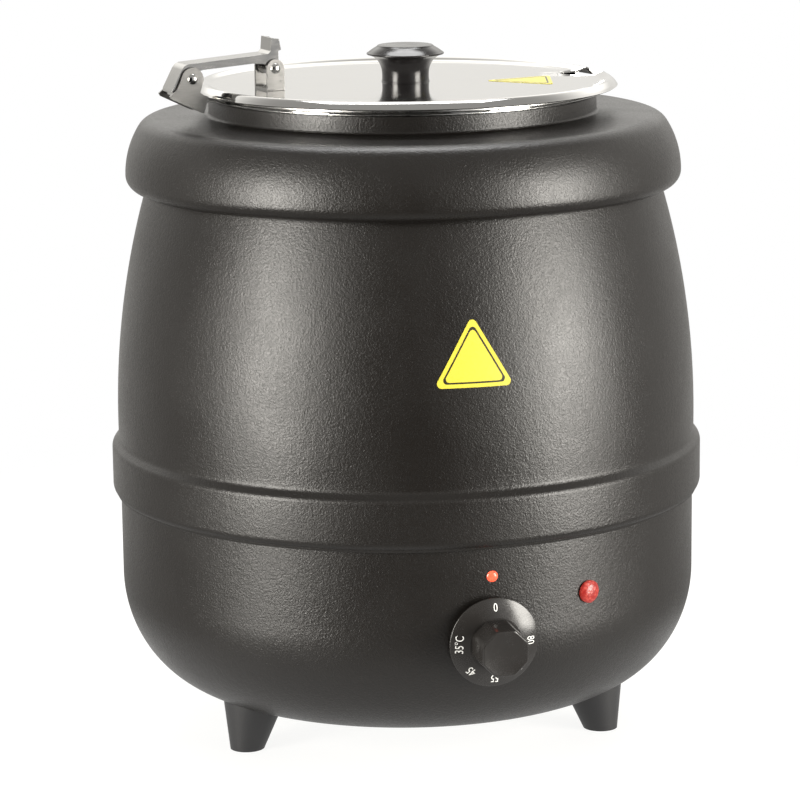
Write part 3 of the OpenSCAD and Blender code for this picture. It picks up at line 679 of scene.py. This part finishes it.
def dial_grip(matrix):
    """The eight-sided grip, with soft edges and a shallow dished front."""
    bm = bmesh.new()
    round_foot = [(10, 0.9), (10, 5)]
    sides = [(0, 5), (0.05, 6), (0.3, 21.6), (0.7, 22.6), (1.3, 23.0), (1.9, 22.95), (2.4, 22.8)]
    count, side_angle, corner_cut = 64, math.pi / 4, 0.985

    def ring(size, z, flat_sided):
        verts = []
        for k in range(count):
            a = 2 * math.pi * k / count
            nearest = (a + side_angle / 2) % side_angle - side_angle / 2
            r = size
            if flat_sided:
                r = min(size / math.cos(nearest), size / math.cos(side_angle / 2) * corner_cut)
            verts.append(bm.verts.new((r * MM * math.cos(a), r * MM * math.sin(a), z * MM)))
        return verts

    rings = [ring(r, z, False) for r, z in round_foot]
    rings += [ring(GRIP_HALF - inwards, z, True) for inwards, z in sides]
    for a, b in zip(rings, rings[1:]):
        for k in range(count):
            bm.faces.new((a[k], a[(k + 1) % count], b[(k + 1) % count], b[k]))
    bm.faces.new(rings[0][::-1])
    bm.faces.new(rings[-1])
    bm.transform(matrix)
    grip = to_object(bm, "dial_grip_finished", 24)
    add_piece(grip, "dial", "dial_plastic", stands_for=["dial_grip"])


def numeral(text, angle, matrix):
    """White printed numbers with their tops outwards, counted anticlockwise from the top of the dial."""
    place_r, height, narrowing = 19.9, 6.6 * MM, 0.74
    curve = bpy.data.curves.new("numeral", "FONT")
    curve.body = text
    curve.size = height
    curve.align_x, curve.align_y = "CENTER", "CENTER"
    curve.extrude = 0.02 * MM
    curve.resolution_u = 4
    holder = bpy.data.objects.new("numeral", curve)
    bpy.context.scene.collection.objects.link(holder)
    bpy.context.view_layer.update()
    mesh = bpy.data.meshes.new_from_object(holder)
    bpy.data.objects.remove(holder)
    outwards, forwards = Vector((-math.cos(angle), -math.sin(angle), 0)), Vector((0, 0, 1))
    up = outwards * math.cos(CONE_SLOPE) - forwards * math.sin(CONE_SLOPE)
    out = forwards * math.cos(CONE_SLOPE) + outwards * math.sin(CONE_SLOPE)
    face = Matrix((up.cross(out), up, out)).transposed().to_4x4()
    cone_z = RIM_TOP + (RIM_R - place_r) * math.tan(CONE_SLOPE)
    face.translation = (outwards * place_r + forwards * cone_z) * MM
    mesh.transform(matrix @ face @ Matrix.Diagonal((narrowing, 1, 1, 1)))
    name = "numeral_" + "".join(c for c in text if c.isdigit())
    piece = bpy.data.objects.new(name, mesh)
    bpy.context.scene.collection.objects.link(piece)
    add_piece(piece, "dial", "dial_plastic", "dial_ink")


# ---- Pot and ring -----------------------------------------------------------------------

def pot_line(inset, rim):
    """The pot from the middle of its bottom to the given rim."""
    return [(0, 82 + inset)] + arc(87.5, 96, 14 - inset, -90, 0, 12) + rim


def pot_and_ring():
    outer_rim = [(106.8, 362.8), (106.8, 364.4), (109.9, 364.4), (110.2, 364.7), (110.2, 365.1),
                 (109.9, 365.4)]
    inner_rim = [(105.8, 365.0), (106.1, 365.4)]
    pot = lathe("pot_shell", pot_line(0, outer_rim) + pot_line(1, inner_rim)[::-1])
    add_piece(pot, "pot", "pot_steel", stands_for=["soup_pot"])

    ring = [(104.2, 353.9), (105.2, 353.9), (105.2, 365.4)] + arc(113.3, 365.9, 0.5, -90, 90, 6)
    ring += arc(105.2, 365.4, 1.0, 90, 180, 5)
    add_piece(lathe("ring_band", ring), "lid_ring_assembly", "polished_steel", stands_for=["lid_ring"])


# ---- Hinge --------------------------------------------------------------------------------

def rivet(name, u, z, body, node):
    """A pin with two domed, pressed heads."""
    head = [(0, 11.2), (0.9, 11.15), (1.5, 11.0), (2.3, 10.7), (2.75, 10.35), (2.9, 10.0), (1.95, 10.0)]
    outline = head + [(r, -h) for r, h in head[::-1]]
    piece = lathe(name, outline, 48, hinge_matrix(u, z))
    add_piece(piece, body, "polished_steel", stands_for=[node])


def hinge():
    # The arm and brackets take darker greys than their polished steel slot, as painted shade.
    softened("hinge_arm", "arm", "polished_steel", 0.35 * MM, "arm_steel_painted_shade")
    softened("hinge_bracket", "lid_ring_assembly", "polished_steel", 0.3 * MM, "bracket_steel_painted_shade")
    softened("lid_bracket", "lid", "polished_steel", 0.3 * MM, "bracket_steel_painted_shade")
    rivet("arm_rivet", *ARM_PIN, "lid_ring_assembly", "arm_pin")
    rivet("lid_rivet", *LID_PIN, "lid", "lid_pin")


# ---- Lid -----------------------------------------------------------------------------------

def lid_height(r):
    """Height of the lid's upper side at a radius, in millimetres, over the flat panel and its raised edge."""
    points = LID_EDGE + [(121, 368.6)]
    if r <= points[0][0]:
        return points[0][1]
    for (r0, z0), (r1, z1) in zip(points, points[1:]):
        if r <= r1:
            return z0 + (z1 - z0) * (r - r0) / (r1 - r0)
    return points[-1][1]


def lid():
    """The polished panel with its raised edge and notch, and the knob."""
    upper = [(r, 371) for r in (0, 40, 80, 105)] + curve_through(LID_EDGE + [(120.3, 369.0)], 6)
    lower = [(r - 0.75, z - 0.75) if r > 116 else (r - 0.1, z - 1.0) for r, z in upper[1:]]
    outline = upper + [(120.45, 368.82)] + lower[::-1] + [(0, 370)]
    panel = lathe("lid_skin", outline, SHELL_TURNS, lid_matrix())
    cut_notch(panel)
    add_piece(panel, "lid", "polished_steel", stands_for=["lid_panel"])
    notch_roll()

    waist = [(13.45, 371.6), (13.35, 374), (13.4, 376), (13.75, 378.6), (14.6, 381), (15.9, 383), (18.0, 385),
             (20.4, 386.2)]
    knob = [(0, 371), (13.7, 371), (13.7, 371.3)] + curve_through(waist, 5)
    knob += arc(21.4, 387.0, 0.6, -50, 52, 6)
    knob += curve_through([(21.4, 387.65), (19.0, 389.4), (16.1, 391.15)], 4)
    knob += arc(15.2, 390.9, 0.9, 50, 88, 4)
    knob += [(10, 391.9), (0, 392.0)]
    add_piece(lathe("knob", knob, 128, lid_matrix()), "lid", "knob_plastic", stands_for=["lid_knob"])


def notch_path(inset=0.0):
    """The notch's edge in plan: straight in, round the end, and straight out."""
    half, straight, turn = NOTCH_R + inset, 10, 24
    length = NOTCH_REACH - NOTCH_CENTRE
    path = [(NOTCH_REACH - length * i / straight, half) for i in range(straight)]
    path += [(NOTCH_CENTRE + half * math.cos(a), half * math.sin(a))
             for a in (math.radians(90 + 180 * i / turn) for i in range(turn + 1))]
    return path + [(NOTCH_CENTRE + length * (i + 1) / straight, -half) for i in range(straight)]


def cut_notch(panel):
    """Cuts the ladle's notch with a block that is taller than the lid and runs out past its edge."""
    bm = bmesh.new()
    past, bottom, top = 10 * MM, 360 * MM, 380 * MM
    path = notch_path()
    path = [(path[0][0] + past, path[0][1])] + path + [(path[-1][0] + past, path[-1][1])]
    rings = [[bm.verts.new((x, y, z)) for x, y in path] for z in (bottom, top)]
    count = len(path)
    for k in range(count):
        bm.faces.new((rings[0][k], rings[0][(k + 1) % count], rings[1][(k + 1) % count], rings[1][k]))
    bm.faces.new(rings[0])
    bm.faces.new(rings[1])
    bm.transform(lid_matrix() @ Matrix.Rotation(NOTCH_AZ, 4, "Z"))
    cutter = to_object(bm, "notch_cutter")
    modifier = panel.modifiers.new("notch", "BOOLEAN")
    modifier.object = cutter
    modifier.solver = "EXACT"
    graph = bpy.context.evaluated_depsgraph_get()
    cut = bpy.data.meshes.new_from_object(panel.evaluated_get(graph))
    panel.modifiers.clear()
    panel.data = cut
    bpy.data.objects.remove(cutter)


def notch_roll():
    """The notch's rolled edge: a thin bead that follows the lid's height."""
    bead, sunk, sides = 0.8 * MM, 0.55, 10
    points = [Vector((x, y, 0)) for x, y in notch_path(0.5 * MM)]
    for p in points:
        p.z = (lid_height(p.length / MM) - sunk) * MM
    bm = bmesh.new()
    rings = []
    for i, p in enumerate(points):
        along = (points[min(i + 1, len(points) - 1)] - points[max(i - 1, 0)]).normalized()
        side = along.cross(Vector((0, 0, 1))).normalized()
        up = side.cross(along)
        angles = [2 * math.pi * k / sides for k in range(sides)]
        rings.append([bm.verts.new(p + bead * (math.cos(a) * side + math.sin(a) * up)) for a in angles])
    for a, b in zip(rings, rings[1:]):
        for k in range(sides):
            bm.faces.new((a[k], a[(k + 1) % sides], b[(k + 1) % sides], b[k]))
    bm.faces.new(rings[0])
    bm.faces.new(rings[-1])
    bm.transform(lid_matrix() @ Matrix.Rotation(NOTCH_AZ, 4, "Z"))
    add_piece(to_object(bm, "notch_roll"), "lid", "polished_steel")


# ---- Putting it together ------------------------------------------------------------------

def dress_cad_nodes():
    """Gives every CAD node the material of its slot. The ones that no piece stands for stay in view."""
    for part in RECORD["subparts"]:
        mesh = NODES[part["node"]].data
        mesh.materials.clear()
        mesh.materials.append(MATERIALS[part["material_slot"]])


camera()
world()
floor()
softbox("left_softbox", -52, 5, 1.7, (0.62, 1.1), 46, (1, 0.965, 0.90))
softbox("right_softbox", 62, 5, 1.7, (0.72, 1.1), 50, (1, 0.965, 0.90))
softbox("front_fill", 36, 8, 1.8, (0.6, 1.2), 1.4)
softbox("top_softbox", 180, 78, 1.5, (1.1, 0.5), 19)
dress_cad_nodes()
casing()
rest_of_casing()
labels()
dial()
pot_and_ring()
hinge()
lid()
bpy.context.scene.view_settings.view_transform = "Standard"
